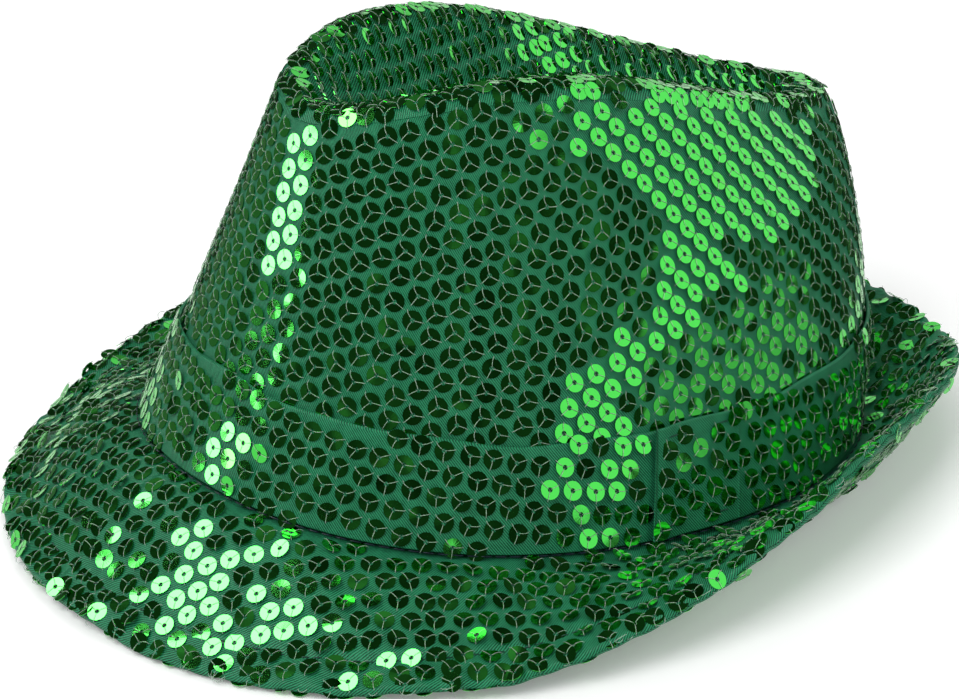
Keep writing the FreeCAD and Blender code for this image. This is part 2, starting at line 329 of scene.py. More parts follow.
def add(nodes, kind, **values):
    """A new node with its inputs set."""
    node = nodes.new("ShaderNode" + kind)
    set_inputs(node, **values)
    return node


def tint(nodes, links, value, stops, target):
    """Sends a value through a ramp of (place, colour) stops to a colour input."""
    node = add(nodes, "ValToRGB")
    elements = node.color_ramp.elements
    while len(elements) < len(stops):
        elements.new(0.5)
    for element, (place, colour) in zip(elements, stops):
        element.position = place
        element.color = (*colour, 1.0)
    links.new(value, node.inputs["Fac"])
    links.new(node.outputs["Color"], target)


def plus(nodes, links, texture, amount, base=None):
    """A texture's value times an amount, added to a base value."""
    node = add(nodes, "Math")
    node.operation = "MULTIPLY_ADD"
    links.new(texture.outputs["Fac"], node.inputs[0])
    node.inputs[1].default_value = amount
    node.inputs[2].default_value = 0.0
    if base is not None:
        links.new(base, node.inputs[2])
    return node.outputs[0]


def satin(name, dark, light, rib, roughness, sheen):
    """Twill cloth: slanting ribs, slow colour change and a soft sheen."""
    material, nodes, links, shader = new_material(name)
    place = add(nodes, "UVMap")
    place.uv_map = "pattern"
    ribs = add(nodes, "TexWave", Scale=diagonal_spacing / rib, Distortion=1.2, Detail=2.0,
               Detail_Scale=1.6)
    ribs.wave_type, ribs.bands_direction = "BANDS", "DIAGONAL"
    slow = add(nodes, "TexNoise", Scale=0.22, Detail=5.0, Roughness=0.65)
    fine = add(nodes, "TexNoise", Scale=3.5, Detail=3.0)
    mixed = None
    for texture, amount in ((slow, 0.5), (fine, 0.5), (ribs, 0.55)):
        links.new(place.outputs["UV"], texture.inputs["Vector"])
        mixed = plus(nodes, links, texture, amount, mixed)
    tint(nodes, links, mixed, [(0.48, dark), (1.0, light)], shader.inputs["Base Color"])
    bump = add(nodes, "Bump", Strength=0.6, Distance=0.12 * MM)
    links.new(plus(nodes, links, fine, 0.8, ribs.outputs["Fac"]), bump.inputs["Height"])
    links.new(bump.outputs["Normal"], shader.inputs["Normal"])
    set_inputs(shader, Roughness=roughness, Specular_IOR_Level=0.2, Sheen_Weight=sheen,
               Sheen_Roughness=0.4, Sheen_Tint=(0.6, 1.0, 0.8, 1.0))
    return material


def mirror_film(name, usual, odd, roughness):
    """Metallised film: mirror metal with a hue that shifts from disc to disc."""
    material, nodes, links, shader = new_material(name)
    hue = add(nodes, "Attribute")
    hue.attribute_name = "batch"
    tint(nodes, links, hue.outputs["Fac"], [(0.0, usual), (0.93, usual), (1.0, odd)],
         shader.inputs["Base Color"])
    spots = add(nodes, "TexCoord")
    scuff = add(nodes, "TexNoise", Scale=400.0, Detail=1.0)
    links.new(spots.outputs["Object"], scuff.inputs["Vector"])
    rough = add(nodes, "MapRange", To_Min=roughness * 0.7, To_Max=roughness * 1.4)
    links.new(scuff.outputs["Fac"], rough.inputs["Value"])
    links.new(rough.outputs["Result"], shader.inputs["Roughness"])
    set_inputs(shader, Metallic=1.0)
    return material


def thread(name, dark, light, roughness, cover):
    """Sewing thread: a fine twist in two shades; a cover under 1 is a clear thread."""
    material, nodes, links, shader = new_material(name)
    spots = add(nodes, "TexCoord")
    twist = add(nodes, "TexNoise", Scale=1500.0, Detail=2.0)
    links.new(spots.outputs["Object"], twist.inputs["Vector"])
    tint(nodes, links, twist.outputs["Fac"], [(0.35, dark), (0.65, light)], shader.inputs["Base Color"])
    set_inputs(shader, Roughness=roughness, Alpha=cover)
    return material


# %% The finishes of this hat
crown_satin = satin("green_satin", (0.002, 0.036, 0.016), (0.026, 0.270, 0.122), 0.55, 0.45, 0.03)
lining_taffeta = satin("dark_lining", (0.004, 0.012, 0.009), (0.012, 0.034, 0.024), 0.35, 0.5, 0.1)
sweat_ribbon = satin("ribbed_ribbon", (0.006, 0.020, 0.014), (0.016, 0.055, 0.035), 1.1, 0.45, 0.2)
sequin_film = mirror_film("sequin_film", (0.075, 0.640, 0.085), (0.092, 0.63, 0.078), 0.07)
# The clear thread's pale tint is partly its own milky colour and partly a painted highlight that makes
# it show over dark discs.
clear_thread = thread("clear_thread", (0.36, 0.50, 0.40), (0.58, 0.72, 0.60), 0.25, 0.42)
green_thread = thread("green_thread", (0.004, 0.030, 0.020), (0.012, 0.080, 0.050), 0.55, 1.0)
dark_thread = thread("dark_thread", (0.003, 0.008, 0.014), (0.008, 0.020, 0.035), 0.55, 1.0)
white_felt = thread("white_felt", (0.45, 0.45, 0.40), (0.60, 0.60, 0.55), 0.9, 1.0)
print("finishes:", len(bpy.data.materials))

# %% [markdown]
# ## The cloths
# The sequins lie in the outer millimetre of each cloth, so the satin itself sits half a millimetre
# below the outline of the pattern piece. Each strip starts and ends at its real joint: the crown's side
# at the back, the hat band under the keeper. The brim's two cloths roll over the edge and meet in the
# middle of its thickness.

# %% Crown side and tip
cloth_depth = 0.5 * MM
satin_thickness = 0.35 * MM
joint_gap = 0.2 * MM
keeper_angle = math.radians(93.5)


def strip_turns(joint, count):
    """Angles once round the hat from one side of a joint to the other."""
    gap = joint_gap / base_half_length
    return np.linspace(joint + gap, joint + FULL_TURN - gap, count)


def arc_lengths(points):
    """Running length along a line of points."""
    steps = np.linalg.norm(np.diff(points, axis=0), axis=-1)
    return np.concatenate([[0.0], np.cumsum(steps)])


def wall_height(angle):
    """Height of the wall from the brim to the seam."""
    return seam_curve(angle)[..., 2] - base_curve(angle)[..., 2]


def wall_cloth(name, turns, low, below_seam, out, thick, material, rows=40):
    """A cloth on the crown's wall, from a height above the brim to a distance below the seam."""
    share = np.linspace(0.0, 1.0, rows)[:, None]
    angle = np.broadcast_to(turns, (rows, len(turns)))
    rise = low + (wall_height(angle) - below_seam - low) * share
    outer, inner = wall(angle, rise, out), wall(angle, rise, out - thick)
    length = arc_lengths(base_curve(turns))
    pattern = np.stack(np.broadcast_arrays(length[None, :], rise), -1) / MM
    return cloth_piece(name, outer, inner, pattern, False, material)


crown_side = wall_cloth("crown_side_satin", strip_turns(math.pi, 700), 0.5 * MM, 0.3 * MM, -cloth_depth,
                        satin_thickness, crown_satin)
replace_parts(crown_side, "crown_side_cloth")

valley_reach = 0.004
valley_end_turn, valley_end_reach = 0.05, 0.2


def tip_cloth(name, offset, thick, material, margin=0.0, columns=420, rows=60):
    """A cloth over the dented tip, closed along the valley, whose ends face straight up."""
    turns = np.linspace(0.0, FULL_TURN, columns, endpoint=False)
    reach = np.linspace(0.0, 1.0, rows) ** 0.9 * (1.0 - margin)
    angle, span = np.broadcast_arrays(turns[None, :], reach[:, None])
    normal = upper_side(tip, angle, np.clip(span, valley_reach, 1.0))[1]
    valley_end = (np.abs(np.sin(angle)) < valley_end_turn) & (span < valley_end_reach)
    normal = np.where(valley_end[..., None], np.array([0.0, 0.0, 1.0]), normal)
    place = tip(angle, span)
    outer, inner = place + normal * offset, place + normal * (offset - thick)
    return cloth_piece(name, outer, inner, place[..., :2] / MM, True, material)


crown_tip = tip_cloth("crown_tip_satin", -cloth_depth, satin_thickness, crown_satin)
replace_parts(crown_tip, "crown_tip_cloth")
print("crown cloth faces:", len(crown_side.data.polygons) + len(crown_tip.data.polygons))

# %% [markdown]
# The hat band is a strip folded over at top and bottom, so its edges are round, not cut. A cross-section
# that runs up the outside, over the fold and down the inside makes it one closed tube. The keeper is
# the same kind of strip, standing upright over the band's joint.

# %% Hat band and keeper
band_out = 1.4 * MM
band_thick = 1.1 * MM


def folded_section(low, high, out, thick, steps=5, climbs=12):
    """Heights and outward offsets round the cross-section of a flat folded strip."""
    radius = thick / 2.0
    bend = np.linspace(0.0, math.pi, 2 * steps + 1)[1:-1]
    climb = np.linspace(low + radius, high - radius, climbs)
    rises = np.concatenate([climb, high - radius + radius * np.sin(bend), climb[::-1],
                            low + radius - radius * np.sin(bend)])
    outs = np.concatenate([np.full(climbs, out), out - radius + radius * np.cos(bend),
                           np.full(climbs, out - thick), out - radius - radius * np.cos(bend)])
    return rises, outs


def folded_strip(name, turns, low, high, out, thick, material, lift=None):
    """A folded strip on the crown's wall, or lifted off it by a function of the angle."""
    rises, outs = folded_section(low, high, out, thick)
    angle, rise = np.broadcast_arrays(turns[None, :], rises[:, None])
    sag = 0.45 * MM * np.sin(9.0 * angle + 1.0) + 0.3 * MM * np.sin(16.0 * angle)
    rise = rise + sag * np.clip((rise - 0.6 * high) / (0.4 * high), 0.0, 1.0)
    away = lift(angle) if lift else 0.0
    grid = laid(wall(angle, rise, outs[:, None] + away + 0.0 * angle))
    length = arc_lengths(base_curve(turns))
    pattern = np.stack(np.broadcast_arrays(length[None, :], rise + 0.3 * outs[:, None]), -1) / MM
    section, count = len(rises), len(turns)
    here = np.arange(section // 2 - 1)
    cap = np.stack([here, here + 1, section - 2 - here, section - 1 - here], -1)
    faces = [grid_faces(count, section, True), cap, (count - 1) * section + cap[:, ::-1]]
    points = grid.transpose(1, 0, 2).reshape(-1, 3)
    piece = mesh_piece(name, points, np.concatenate(faces), material, smooth=True)
    lay_pattern(piece, pattern.transpose(1, 0, 2).reshape(-1, 2))
    return piece


hat_band = folded_strip("hat_band_satin", strip_turns(keeper_angle, 700), 0.8 * MM, band_height,
                        band_out, band_thick, crown_satin)
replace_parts(hat_band, "hat_band")

keeper_width = 23.0 * MM
keeper_out = 2.5 * MM
keeper_thick = 0.8 * MM
keeper_radius = float(np.linalg.norm(base_curve(np.array(keeper_angle))[:2]))
keeper_turns = keeper_angle + np.linspace(-0.5, 0.5, 40) * keeper_width / keeper_radius


def keeper_lift(angle):
    """The keeper's front edge stands a little off the band, where a dark gap shows."""
    return 1.5 * MM * np.exp(-((angle - keeper_turns[0]) * keeper_radius / (5.0 * MM)) ** 2)


band_keeper = folded_strip("band_keeper_satin", keeper_turns, 1.6 * MM, band_height + 1.4 * MM,
                           keeper_out, keeper_thick, crown_satin, keeper_lift)
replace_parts(band_keeper, "band_keeper")
print("band and keeper made")

# %% [markdown]
# The brim is two cloths with stiffening between. At the edge each cloth bends a quarter turn and the
# two meet, so the edge is full and round, as it is on a sewn and turned brim.

# %% Brim cloths
brim_depth = 3.8 * MM
under_depth = 0.6 * MM
edge_radius = (brim_depth - cloth_depth - under_depth) / 2.0


def brim_rows(rows, columns, from_edge):
    """Angles and reaches of a grid over the brim, from under the crown to near the edge."""
    turns = np.linspace(0.0, FULL_TURN, columns, endpoint=False)
    width = around(brim_widths, turns)
    share = np.linspace(0.0, 1.0, rows)[:, None]
    inner_reach = -1.6 * MM / width
    reach = inner_reach + (1.0 - from_edge / width - inner_reach) * share
    return turns, width, share, np.broadcast_to(turns, reach.shape), reach

def brim_face(side, depth, thick, rows=46, columns=900):
    """Grid of one brim cloth from under the crown to the middle of the rolled edge."""
    turns, width, share, angle, reach = brim_rows(rows, columns, edge_radius)
    place, normal, climb = upper_side(brim, angle, reach)
    face = place + normal * depth - side * normal * thick
    bend = np.linspace(0.0, math.pi / 2.0 - 0.06, 7)[1:, None, None]
    middle = place[-1] - normal[-1] * (cloth_depth + edge_radius)
    radius = edge_radius - thick
    roll = middle + climb[-1] * radius * np.sin(bend) + side * normal[-1] * radius * np.cos(bend)
    length = arc_lengths(base_curve(turns))
    edge_run = np.broadcast_to(width + edge_radius * bend[:, 0], (6, columns))
    run = np.concatenate([width * share, edge_run])
    pattern = np.stack(np.broadcast_arrays(length[None, :] * 1.2, run), -1) / MM
    return np.concatenate([face, roll]), pattern


def brim_cloth(name, side, depth):
    """One cloth of the brim as a thin closed body."""
    outer, pattern = brim_face(side, depth, 0.0)
    inner = brim_face(side, depth, satin_thickness)[0]
    return cloth_piece(name, outer, inner, pattern, True, crown_satin)


brim_top = brim_cloth("brim_top_satin", 1.0, -cloth_depth)
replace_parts(brim_top, "brim_top_cloth", "brim_edge_seam")
brim_under = brim_cloth("brim_under_satin", -1.0, -(brim_depth - under_depth))
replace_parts(brim_under, "brim_under_cloth")
print("brim cloths made")

# %% [markdown]
# ## Inside the hat
# The inside shows when the hat is turned over: a dark lining, a ribbed ribbon as sweatband, and a tape
# over the seam at the back. The stiffening plies lie closed in between the cloths. They are made here
# again, because they have to follow the same small waves as the cloths that cover them.

# %% Lining, sweatband and tape
lining_side = wall_cloth("lining_side", strip_turns(math.pi, 360), 1.0 * MM, 2.7 * MM, -2.45 * MM,
                         0.3 * MM, lining_taffeta)
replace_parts(lining_side, "crown_lining_side")
lining_tip = tip_cloth("lining_tip", -2.5 * MM, 0.25 * MM, lining_taffeta, 0.02, 300, 44)
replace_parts(lining_tip, "crown_lining_tip")

sweat_low, sweat_high = -2.4 * MM, 30.0 * MM
sweat_band = folded_strip("sweatband_ribbon", strip_turns(math.pi, 400), sweat_low, sweat_high,
                          -3.05 * MM, 0.8 * MM, sweat_ribbon)
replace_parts(sweat_band, "sweatband")
tape_width = 14.0 * MM
tape_turns = math.pi + np.linspace(-0.5, 0.5, 12) * tape_width / base_half_length
back_tape = wall_cloth("back_seam_tape_ribbon", tape_turns, sweat_high + 0.6 * MM, 12.0 * MM,
                       -3.0 * MM, 0.4 * MM, sweat_ribbon, 20)
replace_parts(back_tape, "back_seam_tape")

# %% Stiffening plies
side_felt = wall_cloth("crown_side_felt", strip_turns(math.pi, 300), 0.8 * MM, 2.4 * MM, -1.3 * MM,
                       0.8 * MM, white_felt)
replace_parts(side_felt, "crown_side_stiffener")
tip_felt = tip_cloth("crown_tip_felt", -1.35 * MM, 0.7 * MM, white_felt,
                     0.03, 240, 40)
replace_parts(tip_felt, "crown_tip_stiffener")

felt_thickness = 1.25 * MM
turns, width, share, angle, reach = brim_rows(24, 360, 4.0 * MM)
place, normal, climb = upper_side(brim, angle, reach)
outer, inner = place - normal * felt_thickness, place - normal * (felt_thickness + felt_thickness)
flat_run = arc_lengths(base_curve(turns))[None, :]
pattern = np.stack(np.broadcast_arrays(flat_run, width * share), -1) / MM
brim_felt = cloth_piece("brim_felt", outer, inner, pattern, True, white_felt)
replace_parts(brim_felt, "brim_stiffener")
print("inner pieces made")

# %% [markdown]
# Every cloth was once a flat cut. The crown's side is cut as a wide fan, the brim as an oval ring.

# %% [markdown]
# ## Where the sequins go
# Sequin cloth is sewn flat, by machine, in a lattice with each disc at the corner of equal triangles,
# then cut and bent into a hat. To get the same look, each panel is unrolled, the lattice is laid on the
# flat pattern, and each point is found again on the bent panel. The lattice then leans and closes up on
# the hat just as the cloth does.

# %% Lattices on the flat patterns
pitch = 6.6 * MM
disc_radius = 2.62 * MM
upright_at = FULL_TURN + math.radians(52.0)


def lattice(low, high, turn, spacing=pitch, jitter=0.12 * MM, seed=1):
    """Points at the corners of equal triangles over a rectangle, with rows along the turned up axis."""
    reach = float(np.linalg.norm(np.subtract(high, low)))
    count = int(reach / spacing) + 3
    i, j = np.meshgrid(np.arange(-count, count + 1), np.arange(-count, count + 1), indexing="ij")
    x = i * spacing * math.cos(math.pi / 6.0)
    y = j * spacing + np.where(i % 2 == 0, 0.0, spacing / 2.0)
    c, s = math.cos(turn), math.sin(turn)
    points = np.stack([x * c - y * s, x * s + y * c], -1).reshape(-1, 2)
    points = points + (np.asarray(low) + np.asarray(high)) / 2.0
    inside = np.all((points >= low) & (points <= high), axis=-1)
    points = points[inside]
    return points + np.random.default_rng(seed).normal(0.0, jitter, points.shape)


def unroll_wall(count=1440):
    """Flat pattern of the crown's side: base line and heading of each upright ruling."""
    turns = np.linspace(math.pi, 3.0 * math.pi, count)
    low, high = base_curve(turns), seam_curve(turns)
    step_low = np.linalg.norm(np.diff(low, axis=0), axis=-1)
    step_high = np.linalg.norm(np.diff(high, axis=0), axis=-1)
    slant = np.linalg.norm(high - low, axis=-1)
    heading = np.concatenate([[0.0], np.cumsum((step_low - step_high) / slant[1:])])
    heading = heading - np.interp(upright_at, turns, heading)
    middle = (heading[1:] + heading[:-1]) / 2.0
    x = np.concatenate([[0.0], np.cumsum(step_low * np.cos(middle))])
    y = np.concatenate([[0.0], np.cumsum(step_low * np.sin(middle))])
    return turns, heading, np.stack([x, y], -1), slant


def find_on_wall(points, margin_low, margin_high):
    """Angle and height on the wall of points of the flat pattern."""
    turns, heading, line, slant = unroll_wall()
    forward = np.stack([np.cos(heading), np.sin(heading)], -1)
    upward = np.stack([-np.sin(heading), np.cos(heading)], -1)
    found = []
    for point in points:
        ahead = np.einsum("ij,ij->i", point - line, forward)
        crossing = np.nonzero((ahead[:-1] >= 0.0) & (ahead[1:] < 0.0))[0]
        for k in crossing:
            share = ahead[k] / (ahead[k] - ahead[k + 1])
            height = float((point - line[k]) @ upward[k])
            if margin_low <= height <= slant[k] - margin_high:
                found.append((turns[k] + share * (turns[k + 1] - turns[k]), height / slant[k]))
    return np.array(found)


wall_line = unroll_wall()[2]
wall_low = wall_line.min(0) - 0.11
wall_high = wall_line.max(0) + 0.11
crown_cut = math.radians(-7.5)
wall_spots = find_on_wall(lattice(wall_low, wall_high, crown_cut), band_height + 0.2 * MM, 1.2 * MM)
print("places on the crown's side:", len(wall_spots))

# %% [markdown]
# A disc is a flat ring with a hole, and it lies on the cloth by three threads. On a flat stretch all
# discs face the same way and flash together. On bends they lean by chance. So each disc gets a small
# random lean, larger on the brim and the edge, and is lifted so that its low side doesn't sink into the
# cloth. The film is also bent very slightly, which gives the half-bright discs of the real thing.

# %% Discs and their threads
hole_radius = 0.68 * MM
film_thickness = 0.12 * MM
film_gap = 0.10 * MM
disc_sides = 16
thread_radius = 0.105 * MM
table_clear = 0.2 * MM
straight_up = math.pi / 2.0


def frames_for(normal, up):
    """Right, up and out directions for discs on a surface."""
    up = unit(up - normal * np.sum(up * normal, -1, keepdims=True))
    return np.stack([np.cross(up, normal), up, normal], 1)


def spin(axes, angle):
    """Turns right and up about out."""
    c, s = np.cos(angle)[:, None], np.sin(angle)[:, None]
    right = axes[:, 0] * c + axes[:, 1] * s
    up = axes[:, 1] * c - axes[:, 0] * s
    return np.stack([right, up, axes[:, 2]], 1)


def leaned(axes, lean, direction):
    """Leans the discs: out moves towards a direction in the disc's plane."""
    c, s = np.cos(direction)[:, None], np.sin(direction)[:, None]
    slide = axes[:, 0] * c + axes[:, 1] * s
    cross = axes[:, 1] * c - axes[:, 0] * s
    cl, sl = np.cos(lean)[:, None], np.sin(lean)[:, None]
    out = axes[:, 2] * cl + slide * sl
    slide = slide * cl - axes[:, 2] * sl
    right = slide * c - cross * s
    up = slide * s + cross * c
    return np.stack([right, up, out], 1)


def disc_shape():
    """Points and faces of one disc: rims of the film's upper and lower faces."""
    side = np.arange(disc_sides) * FULL_TURN / disc_sides
    rims = []
    for radius, level in ((disc_radius, 1), (hole_radius, 1), (hole_radius, -1), (disc_radius, -1)):
        height = np.full(disc_sides, level * film_thickness / 2.0)
        rims.append(np.stack([radius * np.cos(side), radius * np.sin(side), height], -1))
    here = np.arange(disc_sides)
    ahead = (here + 1) % disc_sides
    faces = []
    for rim in range(4):
        a, b = rim * disc_sides, ((rim + 1) % 4) * disc_sides
        faces.append(np.stack([a + here, a + ahead, b + ahead, b + here], -1))
    return np.concatenate(rims), np.concatenate(faces)


def sew_discs(name, place, axes, seed, lean, wild, wild_lean, floor=None, steady=None):
    """Discs with their threads at the given places of a surface.

    Each leans by chance, a wild share leans far, and steady gives a shared lean as angle and direction.
    """
    random = np.random.default_rng(seed)
    count = len(place)
    rough = np.abs(random.normal(0.0, lean, count))
    rough = np.where(random.random(count) < wild, random.uniform(0.4, 1.0, count) * wild_lean, rough)
    tipped = axes
    lift = film_thickness + film_gap + disc_radius * np.sin(rough) * 0.8
    if steady is not None:
        tipped = leaned(tipped, steady[0], steady[1])
        lift = lift + disc_radius * np.abs(np.sin(steady[0])) * 0.8
    tipped = leaned(tipped, rough, random.uniform(0.0, FULL_TURN, count))
    centre = place + axes[:, 2] * lift[:, None]
    shape, faces = disc_shape()
    curl = random.uniform(-8.0, 8.0, count)
    dish = random.normal(0.0, 0.012, count)
    local = np.broadcast_to(shape, (count,) + shape.shape).copy()
    local[..., 2] += curl[:, None] * local[..., 0] ** 2
    local[..., 2] += dish[:, None] * np.linalg.norm(local[..., :2], axis=-1)
    points = laid(centre[:, None, :] + np.einsum("nij,njk->nik", local, tipped))
    if floor is not None:
        points[..., 2] = np.maximum(points[..., 2], floor)
    faces = (np.arange(count)[:, None, None] * len(shape) + faces).reshape(-1, 4)
    discs = mesh_piece(name + "_sequins", points.reshape(-1, 3), faces, sequin_film)
    batch = discs.data.attributes.new("batch", "FLOAT", "POINT")
    hue = np.repeat(random.random(count) ** 2.0, len(shape))
    batch.data.foreach_set("value", hue.astype(np.float32))
    sew_threads(name + "_sequin_threads", centre, tipped, random, floor)


def sew_threads(name, centre, axes, random, floor):
    """Three threads from each hole over the rim, as fine four-sided tubes."""
    count = len(centre)
    steps = np.array([0.10, 0.45, 0.80, 1.02, 1.22])
    lifts = np.array([-0.6, 1.5, 1.9, 1.3, -2.2]) * thread_radius + film_thickness / 2.0
    bows = np.array([0.0, 0.7, 1.0, 0.7, 0.2])
    tubes = []
    for heading, bow in ((1.96, 0.40), (-0.13, -0.05), (4.08, -0.10)):
        angle = heading + random.normal(0.0, 0.16, count)
        sway = (bow + random.normal(0.0, 0.12, count)) * MM
        run = np.stack([np.cos(angle), np.sin(angle)], -1)
        side = np.stack([-np.sin(angle), np.cos(angle)], -1)
        flat = run[:, None, :] * (steps * disc_radius)[None, :, None]
        flat = flat + side[:, None, :] * (sway[:, None] * bows)[..., None]
        path = np.concatenate([flat, np.broadcast_to(lifts, (count, 5))[..., None]], -1)
        across = np.concatenate([side, np.zeros((count, 1))], -1)[:, None, :] * thread_radius
        upward = np.array([0.0, 0.0, thread_radius])
        ring = np.stack([path + across, path + upward, path - across, path - upward], 2)
        tubes.append(ring.reshape(count, 20, 3))
    local = np.stack(tubes, 1)
    points = laid(centre[:, None, None, :] + np.einsum("nmij,njk->nmik", local, axes))
    if floor is not None:
        points[..., 2] = np.maximum(points[..., 2], floor)
    tube = np.concatenate([grid_faces(5, 4, True), np.array([[3, 2, 1, 0], [16, 17, 18, 19]])])
    faces = (np.arange(count * 3)[:, None, None] * 20 + tube).reshape(-1, 4)
    mesh_piece(name, points.reshape(-1, 3), faces, clear_thread, smooth=True)


# %% [markdown]
# Sequins also have a nap, like fur: a hand that strokes the hat leaves a patch where they all tip up a
# little, and they flash together there. The patch on the wearer's left is drawn as corners in degrees
# round the hat and millimetres up its side. Low at the front they are pressed slightly down.

# %% The nap of the sequins
stroked_patch = np.array([
    (68, 112), (68, 99), (77, 96), (81, 91), (86, 86), (88.5, 77), (87, 60), (84.5, 54), (80, 53),
    (79, 46), (75, 46), (69.5, 44), (69, 34), (67, 29), (67.5, 9.5), (75.5, 3.5), (81, 4), (81, 18),
    (87.5, 18.5), (87.5, 26), (80, 31), (79.5, 39.5), (83.5, 41), (85, 47), (90, 47), (90.5, 53),
    (95.5, 52), (96, 58), (105, 57.5), (105, 63.5), (102.5, 67.5), (103.5, 70), (114, 66), (122, 65),
    (129, 68.5), (136.5, 80), (133, 86.5), (118, 96), (105, 102), (86, 109)])
tipped_up = math.radians(15.0)
pressed_down = math.radians(6.0)
pressed_below = 54.0 * MM


def inside_corners(corners, x, y):
    """Which points lie inside a closed outline."""
    hit = np.zeros(len(x), bool)
    for (x0, y0), (x1, y1) in zip(corners, np.roll(corners, 1, axis=0)):
        spans = (y0 > y) != (y1 > y)
        hit ^= spans & (x < (x1 - x0) * (y - y0) / (y1 - y0 + 1e-12) + x0)
    return hit


def nap_lean(angle, rise):
    """How far each disc of the crown's side or band tips up (or down, under nought)."""
    turned = (np.degrees(angle) + 90.0) % 360.0 - 90.0
    up = inside_corners(stroked_patch, turned, rise / MM)
    low = (turned > -2.0) & (turned < 46.0) & (rise < pressed_below)
    return np.where(up, tipped_up, np.where(low, -pressed_down, 0.0))


def wall_places(angle, rise, out):
    """Places and directions of discs on the wall, moved squarely out."""
    return outer_side(lambda a, b: wall(a, b, out), angle, rise)


wall_angle = wall_spots[:, 0]
wall_rise = wall_spots[:, 1] * wall_height(wall_angle)
place, normal, climb = wall_places(wall_angle, wall_rise, -cloth_depth)
wall_turns, wall_heading = unroll_wall()[:2]
slant = crown_cut - np.interp(wall_angle, wall_turns, wall_heading)
axes = spin(frames_for(normal, climb), slant)
left = np.sin(wall_angle) > 0.0
nap = nap_lean(wall_angle, wall_rise)
for label, seed, half in (("left", 11, left), ("right", 12, ~left)):
    sew_discs("crown_side_" + label, place[half], axes[half], seed, math.radians(1.0), 0.035,
              math.radians(11.0), steady=(nap[half], straight_up - slant[half]))
print("sequins on the crown's side:", len(place), "of them tipped up", int(np.sum(nap > 0.0)))

# %% [markdown]
# The band's cloth is cut at another slant from the crown's, so its lattice is turned. A disc that would
# lie under the keeper is left out. On the band only some of the discs take part in the nap, so the
# patch frays out there.

# %% Discs on the band and keeper
band_cut = math.radians(24.0)
band_line = np.linspace(0.0, FULL_TURN, 2000)
band_length = arc_lengths(base_curve(band_line))
band_corner = (float(band_length[-1]), band_height - 0.3 * MM)
band_flat = lattice((0.0, 1.2 * MM), band_corner, band_cut, seed=2)
band_angle = np.interp(band_flat[:, 0], band_length, band_line)
from_keeper = (band_angle - keeper_angle + math.pi) % FULL_TURN - math.pi
clear = np.abs(from_keeper) * keeper_radius > keeper_width / 2.0 + disc_radius * 0.5
band_spots = np.stack([band_angle, band_flat[:, 1]], -1)[clear]
place, normal, climb = wall_places(band_spots[:, 0], band_spots[:, 1], band_out)
axes = spin(frames_for(normal, climb), np.full(len(place), band_cut))
unruly = np.random.default_rng(23).random(len(place)) < 0.3
nap = np.where(unruly, 0.0, nap_lean(band_spots[:, 0], band_spots[:, 1]))
sew_discs("hat_band", place, axes, 21, math.radians(2.5), 0.10, math.radians(18.0),
          steady=(nap, np.full(len(place), straight_up - band_cut)))

keeper_ends = base_curve(np.array([keeper_turns[0], keeper_turns[-1]]))
keeper_arc = float(np.linalg.norm(keeper_ends[1] - keeper_ends[0]))
keeper_pace = keeper_arc / float(keeper_turns[-1] - keeper_turns[0])
keeper_half = keeper_arc / 2.0 - 0.9 * MM
keeper_flat = lattice((-keeper_half, 3.0 * MM), (keeper_half, band_height + 0.6 * MM),
                      math.radians(-6.0), seed=4)
keeper_spots = keeper_angle + keeper_flat[:, 0] / keeper_pace
place, normal, climb = wall_places(keeper_spots, keeper_flat[:, 1], keeper_out)
place = place + normal * keeper_lift(keeper_spots)[:, None]
axes = frames_for(normal, climb)
sew_discs("band_keeper", place, axes, 22, math.radians(3.0), 0.15, math.radians(16.0))
print("sequins on band and keeper:", len(band_spots) + len(keeper_spots))

# %% [markdown]
# On the tip the lattice is laid out from above. The sides of the dent are steep, so the lattice is
# closed up both ways, as a slanting cloth looks from above. There the discs also overlap like
# shingles, which tips each of them up the slope.

# %% Discs on the tip


def find_on_tip(points):
    """Angle and reach on the tip of points seen from above."""
    turns = np.linspace(0.0, FULL_TURN, 361)[:-1]
    reaches = np.linspace(0.02, 0.97, 96)
    angle, reach = np.meshgrid(turns, reaches, indexing="ij")
    grid = tip(angle, reach)[..., :2].reshape(-1, 2)
    found = []
    for point in points:
        gap = np.sum((grid - point) ** 2, -1)
        nearest = int(np.argmin(gap))
        if gap[nearest] < (1.6 * MM) ** 2:
            found.append((angle.reshape(-1)[nearest], reach.reshape(-1)[nearest]))
    return np.array(found)


squeeze = 0.76
tip_low = np.array([-0.06, -0.08]) / squeeze
tip_high = np.array([0.06, 0.105]) / squeeze
tip_spots = find_on_tip(lattice(tip_low, tip_high, math.radians(12.0), seed=5) * squeeze)
tip_angle, tip_reach = tip_spots[:, 0], tip_spots[:, 1]
place, normal, climb = upper_side(tip, tip_angle, np.maximum(tip_reach, 0.03))
ahead = np.broadcast_to(np.array([0.25, 1.0, 0.0]), normal.shape)
shingle = math.radians(25.0) * np.clip((0.86 - tip_reach) / 0.15, 0.0, 1.0)
flatter = np.exp(-((tip_angle - math.radians(264.0)) / 0.14) ** 2) * (tip_reach > 0.48)
shingle = shingle * (1.0 - 0.65 * flatter)
sew_discs("crown_tip", place - normal * cloth_depth, frames_for(normal, ahead), 31, math.radians(1.6),
          0.03, math.radians(10.0), steady=(shingle, np.full(len(place), straight_up)))
print("sequins on the tip:", len(tip_spots))

# %% [markdown]
# The brim is cut as a flat ring, so its lattice lies on that flat ring. The underside gets a lattice
# of its own. Close to the crown on the wearer's left, the turned-up seam pushes up the inner side of
# each disc. Along the edge the seam runs through the sequins, so a ragged row hangs over it, and that
# row makes the outline of the hat.

# %% Discs on the brim


